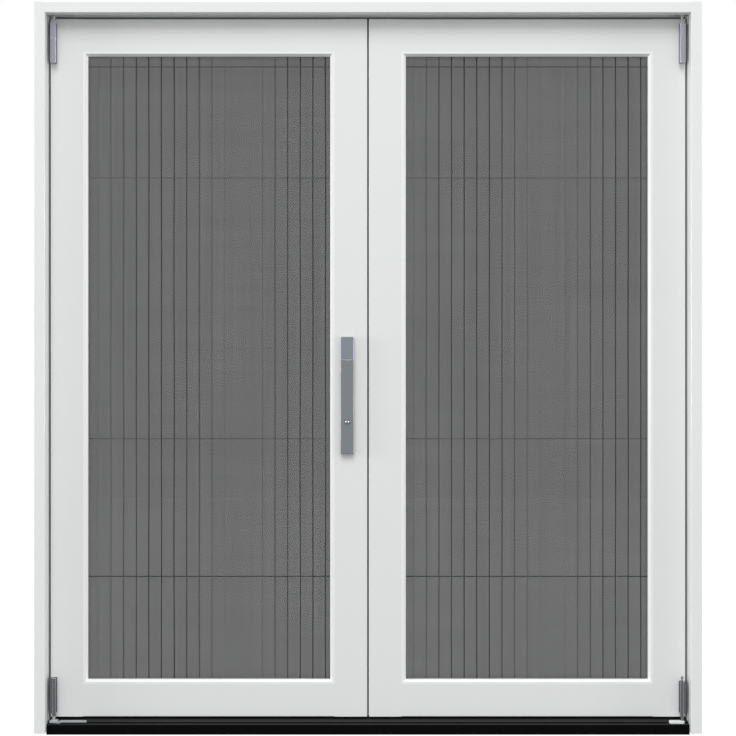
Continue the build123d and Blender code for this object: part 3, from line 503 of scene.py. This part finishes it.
# pleated screen cloth
def foldCloth():
    settings = clothSettings
    columns = settings["pleats"] * settings["columnsPerPleat"]
    rows = settings["rows"]
    deselectAll()
    bpy.ops.mesh.primitive_grid_add(x_subdivisions=columns, y_subdivisions=rows, size=1.0)
    cloth = bpy.context.active_object
    count = len(cloth.data.vertices)
    points = np.zeros(count * 3)
    cloth.data.vertices.foreach_get("co", points)
    points = points.reshape(-1, 3)
    across = points[:, 0] + 0.5
    upward = points[:, 1] + 0.5
    pleat = across * settings["pleats"]
    sharp = settings["foldSharpness"]
    wave = -np.arcsin(sharp * np.cos(2 * math.pi * pleat)) / math.asin(sharp)
    draws = np.random.RandomState(settings["seed"]).uniform(-1, 1, (settings["pleats"] + 1, 2))
    lean = np.interp(pleat, np.arange(settings["pleats"] + 1), draws[:, 0])
    phase = np.interp(pleat, np.arange(settings["pleats"] + 1), draws[:, 1]) * math.pi
    edgeHold = np.clip(np.minimum(across, 1 - across) * settings["pleats"], 0, 1)
    sway = settings["sway"] * edgeHold * lean * np.sin(2 * math.pi * settings["swayWaves"] * upward + phase)
    slack = (1 + np.sin(2 * math.pi * settings["depthWaves"] * upward + 2 * phase)) * edgeHold / 2
    depth = settings["halfDepth"] * (1 - settings["depthLoss"] * slack)
    middleY = (screenBox[0].y + screenBox[1].y) / 2
    placed = np.column_stack([
        screenBox[0].x + across * (screenBox[1].x - screenBox[0].x) + sway,
        middleY + depth * wave,
        screenBox[0].z + upward * (screenBox[1].z - screenBox[0].z)])
    cloth.data.vertices.foreach_set("co", placed.ravel())
    flatMap = cloth.data.uv_layers.active or cloth.data.uv_layers.new(name="flat")
    corner = np.zeros(len(cloth.data.loops), dtype=np.int32)
    cloth.data.loops.foreach_get("vertex_index", corner)
    flat = np.column_stack([pleat * pleatFlat, upward * (screenBox[1].z - screenBox[0].z)])[corner]
    flatMap.data.foreach_set("uv", flat.astype(np.float32).ravel())
    cloth.data.update()
    applyModifier(cloth, "SOLIDIFY", thickness=settings["thickness"], offset=0.0)
    makeActive(cloth)
    bpy.ops.object.shade_smooth_by_angle(angle=math.radians(settings["smoothAngle"]))
    finishPiece(cloth, "pleatedCloth", "frame", "screen_cloth")
    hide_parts("screen_mesh")
    return cloth


def squashWithScreen(piece):
    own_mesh(piece)


pleatedCloth = foldCloth()
squashWithScreen(pleatedCloth)
print("screen cloth folded:", len(pleatedCloth.data.polygons), "faces")


# twisted threads that hold the pleats apart
threadSettings = {"radii": (0.0019, 0.00095, 0.0009, 0.00125), "flatten": 0.62, "twistLength": 0.012,
                  "stepsPerTwist": 8, "sides": 8, "leastGap": 0.05}


def spinThread(height, radius):
    settings = threadSettings
    deselectAll()
    length = screenBox[1].x - screenBox[0].x
    bpy.ops.mesh.primitive_circle_add(vertices=settings["sides"], radius=radius, location=(0, 0, 0),
                                      rotation=(0, math.pi / 2, 0))
    thread = bpy.context.active_object
    bpy.ops.object.transform_apply(location=False, rotation=True, scale=False)
    bpy.ops.object.mode_set(mode="EDIT")
    bpy.ops.mesh.select_all(action="SELECT")
    bpy.ops.transform.resize(value=(1, settings["flatten"], 1))
    bpy.ops.object.mode_set(mode="OBJECT")
    twists = length / settings["twistLength"]
    steps = int(twists * settings["stepsPerTwist"])
    applyModifier(thread, "SCREW", axis="X", screw_offset=length, angle=twists * 2 * math.pi, steps=steps,
                  render_steps=steps, use_merge_vertices=False)
    thread.location = (screenBox[0].x, (screenBox[0].y + screenBox[1].y) / 2, height)
    bakePlace(thread)
    bpy.ops.object.mode_set(mode="EDIT")
    bpy.ops.mesh.select_all(action="DESELECT")
    bpy.ops.mesh.select_non_manifold()
    bpy.ops.mesh.edge_face_add()
    bpy.ops.mesh.select_all(action="SELECT")
    bpy.ops.mesh.normals_make_consistent(inside=False)
    bpy.ops.object.mode_set(mode="OBJECT")
    return thread


threadHeights = heightsOf("screen_strings", threadSettings["leastGap"])
threads = [spinThread(height, radius) for height, radius in zip(threadHeights, threadSettings["radii"])]
threadSet = finishPiece(joinPieces(threads), "pleatThreads", "frame", "dark_string")
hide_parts("screen_strings")
squashWithScreen(threadSet)
print("threads spun:", len(threadSet.data.polygons), "faces")


# screws with a cross recess

endFace = 0.9  # a face whose normal leans no further from Z is an end face
crossTaper = (0.55, 0.8, 1.0)
meshSettings = {"mergeDistance": 0.000005, "smoothAngle": 32}


def isTop(face):
    return face.normal.z > endFace


def isBottom(face):
    return face.normal.z < -endFace


def selectFaces(piece, wanted):
    makeActive(piece)
    bpy.ops.object.mode_set(mode="EDIT")
    bpy.ops.mesh.select_mode(type="FACE")
    bpy.ops.mesh.select_all(action="DESELECT")
    bpy.ops.object.mode_set(mode="OBJECT")
    for face in piece.data.polygons:
        face.select = bool(wanted(face))
    bpy.ops.object.mode_set(mode="EDIT")


def tidyMesh(piece):
    makeActive(piece)
    bpy.ops.object.mode_set(mode="EDIT")
    bpy.ops.mesh.select_all(action="SELECT")
    bpy.ops.mesh.remove_doubles(threshold=meshSettings["mergeDistance"])
    bpy.ops.mesh.normals_make_consistent(inside=False)
    bpy.ops.object.mode_set(mode="OBJECT")
    bpy.ops.object.shade_smooth_by_angle(angle=math.radians(meshSettings["smoothAngle"]))


# cuts a cross into the top of a screw that points up along Z
def cutCross(screw, top, settings):
    for turn in (0.0, math.pi / 2):
        deselectAll()
        bpy.ops.mesh.primitive_cube_add(size=1.0, location=(0, 0, top), rotation=(0, 0, turn))
        bar = bpy.context.active_object
        bar.scale = (settings["crossLength"], settings["crossWidth"], 2 * settings["crossDepth"])
        bakePlace(bar)
        selectFaces(bar, isBottom)
        bpy.ops.transform.resize(value=crossTaper)
        bpy.ops.object.mode_set(mode="OBJECT")
        applyModifier(screw, "BOOLEAN", operation="DIFFERENCE", object=bar, solver="EXACT")
        bpy.data.objects.remove(bar, do_unlink=True)


def joinCopies(master, places):
    copies = []
    for location, rotation in places:
        copy = master.copy()
        copy.data = master.data.copy()
        bpy.context.collection.objects.link(copy)
        copy.rotation_mode = "QUATERNION"
        copy.rotation_quaternion = rotation
        copy.location = location
        bakePlace(copy)
        copies.append(copy)
    joined = joinPieces(copies)
    joined.rotation_mode = "XYZ"
    return joined


# turns Z to the wanted direction, after a roll about Z
def facing(direction, roll):
    return Vector(direction).to_track_quat("Z", "Y") @ Quaternion((0, 0, 1), roll)


plateScrewSettings = {
    "sides": 28, "radius": 0.0043, "height": 0.0016, "proud": 0.0007, "dome": 0.0006, "domeSteps": 3,
    "crossLength": 0.0048, "crossWidth": 0.0011, "crossDepth": 0.0007, "plateThickness": 0.0025,
    "across": (0.011, 0.029), "upwards": (0.037, 0.016), "hingeGap": 0.3, "seed": 5}


def makePlateScrew():
    settings = plateScrewSettings
    deselectAll()
    bpy.ops.mesh.primitive_cylinder_add(
        vertices=settings["sides"], radius=settings["radius"], depth=settings["height"],
        location=(0, 0, settings["proud"] - settings["height"] / 2))
    screw = bpy.context.active_object
    bakePlace(screw)
    selectFaces(screw, isTop)
    bpy.ops.mesh.bevel(offset=settings["dome"], offset_type="OFFSET", segments=settings["domeSteps"],
                       affect="EDGES")
    bpy.ops.object.mode_set(mode="OBJECT")
    cutCross(screw, settings["proud"], settings)
    tidyMesh(screw)
    return screw


def screwPlates(master, node, side, body, name):
    settings = plateScrewSettings
    low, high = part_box(node)
    plateEdge = high[0] if side > 0 else low[0]
    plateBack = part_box("left_inner_stile")[1][1] + settings["plateThickness"]
    rolls = np.random.RandomState(settings["seed"] + side)
    places = []
    for middle in heightsOf(node, settings["hingeGap"]):
        for across, up in zip(settings["across"], settings["upwards"]):
            for lift in (-up, up):
                spot = (plateEdge - side * across, plateBack, middle + lift)
                places.append((spot, facing((0, 1, 0), rolls.uniform(0, math.pi))))
    screws = joinCopies(master, places)
    return finishPiece(screws, name, body, "steel")


plateScrew = makePlateScrew()
screwPlates(plateScrew, "fold_hinge_right_plates", 1, "right_leaf", "rightPlateScrews")
screwPlates(plateScrew, "fold_hinge_left_plates", -1, "left_leaf", "leftPlateScrews")
bpy.data.objects.remove(plateScrew, do_unlink=True)
print("hinge plate screws placed")


frameScrewSettings = {
    "sides": 24, "shankRadius": 0.0025, "headRadius": 0.005, "headHeight": 0.0035, "length": 0.075,
    "tip": 0.006, "tipShare": 0.15, "crossLength": 0.0056, "crossWidth": 0.0013, "crossDepth": 0.0022,
    "seed": 17}


# one long countersunk screw, head up, its top at zero
def makeFrameScrew():
    settings = frameScrewSettings
    shaft = settings["length"] - settings["headHeight"] - settings["tip"]
    deselectAll()
    bpy.ops.mesh.primitive_cylinder_add(
        vertices=settings["sides"], radius=settings["shankRadius"], depth=shaft,
        location=(0, 0, -settings["headHeight"] - shaft / 2))
    screw = bpy.context.active_object
    bakePlace(screw)
    selectFaces(screw, isTop)
    bpy.ops.mesh.extrude_region_move(TRANSFORM_OT_translate={"value": (0, 0, settings["headHeight"])})
    grow = settings["headRadius"] / settings["shankRadius"]
    bpy.ops.transform.resize(value=(grow, grow, 1))
    selectFaces(screw, isBottom)
    bpy.ops.mesh.extrude_region_move(TRANSFORM_OT_translate={"value": (0, 0, -settings["tip"])})
    bpy.ops.transform.resize(value=(settings["tipShare"], settings["tipShare"], 1))
    bpy.ops.object.mode_set(mode="OBJECT")
    cutCross(screw, 0.0, settings)
    tidyMesh(screw)
    return screw


def placeFrameScrews():
    low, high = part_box("frame_screws")
    inset = frameScrewSettings["headRadius"]
    rolls = np.random.RandomState(frameScrewSettings["seed"])
    master = makeFrameScrew()
    places = []
    for side, x in ((-1, low[0]), (1, high[0])):
        for y in (low[1] + inset, high[1] - inset):
            for z in (low[2] + inset, high[2] - inset):
                places.append(((x, y, z), facing((side, 0, 0), rolls.uniform(0, math.pi))))
    screws = joinCopies(master, places)
    bpy.data.objects.remove(master, do_unlink=True)
    finishPiece(screws, "frameScrewSet", "frame", "steel")
    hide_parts("frame_screws")


placeFrameScrews()
print("frame screws placed")


# rounded rim round the lock button's recess
rimSettings = {"radius": 0.0091, "width": 0.0014, "proud": 0.0004, "sides": 10, "steps": 48}


def spinRim():
    settings = rimSettings
    low, high = (Vector(corner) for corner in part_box("lock_button"))
    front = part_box("handle_lever")[0][1]
    middle = Vector(((low.x + high.x) / 2, front, (low.z + high.z) / 2))
    start = (middle.x + settings["radius"], middle.y, middle.z)
    deselectAll()
    bpy.ops.mesh.primitive_circle_add(vertices=settings["sides"], radius=settings["width"] / 2,
                                      location=start)
    rim = bpy.context.active_object
    bakePlace(rim)
    bpy.ops.object.mode_set(mode="EDIT")
    bpy.ops.mesh.select_all(action="SELECT")
    flatten = settings["proud"] / (settings["width"] / 2)
    bpy.ops.transform.resize(value=(1, flatten, 1), center_override=start)
    bpy.ops.mesh.spin(steps=settings["steps"], angle=2 * math.pi, center=middle, axis=(0, 1, 0),
                      use_auto_merge=True)
    bpy.ops.object.mode_set(mode="OBJECT")
    tidyMesh(rim)
    return finishPiece(rim, "buttonRim", "handle_lever", "grey_handle")


spinRim()
print("button rim spun")


# floor, light and camera

stageSettings = {"floorSize": 14.0, "floorColour": (0.08, 0.08, 0.08), "floorRoughness": 0.9,
                 "floorSeen": 0.95, "floorGlow": 0.13,
                 "skyWhite": 1.0, "skyFill": 0.75, "skyGloss": 0.32}
keySettings = {"place": (-2.5, -26.0, 28.0), "aim": (0.0, 0.0, 1.0), "size": 20.0, "power": 6900.0}
leftSettings = {"place": (-11.0, -1.5, 1.8), "aim": (0.9, -0.06, 1.0), "size": 3.0, "power": 530.0}
rightSettings = {"place": (11.0, -1.5, 1.8), "aim": (-0.9, -0.06, 1.0), "size": 3.0, "power": 400.0}
backSettings = {"place": (1.4, 3.6, 6.6), "aim": (0.0, 0.0, 1.0), "size": 2.4, "power": 170.0}
cameraSettings = {"place": (0.0, -3.933, 1.009), "lens": 68.8, "sensor": 36.0}


def makeFloor():
    deselectAll()
    bpy.ops.mesh.primitive_plane_add(size=stageSettings["floorSize"], location=(0, 0, cadBox[0][2]))
    floor = bpy.context.active_object
    floor.name = "paleFloor"
    material, tree, shader = newMaterial("paleFloor")
    shader.inputs["Base Color"].default_value = rgb(*stageSettings["floorColour"])
    shader.inputs["Roughness"].default_value = stageSettings["floorRoughness"]
    shader.inputs["Specular IOR Level"].default_value = 0.0
    shader.inputs["Emission Color"].default_value = rgb(1, 1, 1)
    path = tree.nodes.new("ShaderNodeLightPath")
    seen = mathNode(tree, "MAXIMUM", path.outputs["Is Camera Ray"], path.outputs["Is Transmission Ray"])
    lift = stageSettings["floorSeen"] - stageSettings["floorGlow"]
    tree.links.new(mathNode(tree, "MULTIPLY_ADD", seen, lift, stageSettings["floorGlow"]),
                   shader.inputs["Emission Strength"])
    floor.data.materials.append(material)


def makeSky():
    world = bpy.data.worlds.new("studioSky")
    bpy.context.scene.world = world
    world.use_nodes = True
    tree = world.node_tree
    path = tree.nodes.new("ShaderNodeLightPath")
    seen = mathNode(tree, "MAXIMUM", path.outputs["Is Camera Ray"], path.outputs["Is Transmission Ray"])
    gloss = mathNode(tree, "MULTIPLY", path.outputs["Is Glossy Ray"],
                     stageSettings["skyGloss"] - stageSettings["skyFill"])
    other = mathNode(tree, "ADD", gloss, stageSettings["skyFill"])
    lift = mathNode(tree, "SUBTRACT", stageSettings["skyWhite"], other)
    strength = mathNode(tree, "MULTIPLY_ADD", seen, lift, other)
    background = tree.nodes["Background"]
    background.inputs["Color"].default_value = rgb(1, 1, 1)
    tree.links.new(strength, background.inputs["Strength"])


def addSoftLight(name, settings):
    light = bpy.data.lights.new(name, "AREA")
    light.shape = "SQUARE"
    light.size = settings["size"]
    light.energy = settings["power"]
    lamp = bpy.data.objects.new(name, light)
    bpy.context.collection.objects.link(lamp)
    lamp.location = settings["place"]
    direction = Vector(settings["aim"]) - Vector(settings["place"])
    lamp.rotation_euler = direction.to_track_quat("-Z", "Y").to_euler()
    lamp.visible_camera = False
    lamp.visible_transmission = False


def addCamera():
    camera = bpy.data.cameras.new("photoCamera")
    camera.lens = cameraSettings["lens"]
    camera.sensor_width = cameraSettings["sensor"]
    stand = bpy.data.objects.new("photoCamera", camera)
    bpy.context.collection.objects.link(stand)
    stand.location = cameraSettings["place"]
    stand.rotation_euler = (math.pi / 2, 0, 0)
    bpy.context.scene.camera = stand


makeFloor()
makeSky()
addSoftLight("keySoftbox", keySettings)
addSoftLight("leftSoftbox", leftSettings)
addSoftLight("rightSoftbox", rightSettings)
addSoftLight("backSoftbox", backSettings)
addCamera()
bpy.context.scene.view_settings.view_transform = "Standard"
print("stage and camera set")
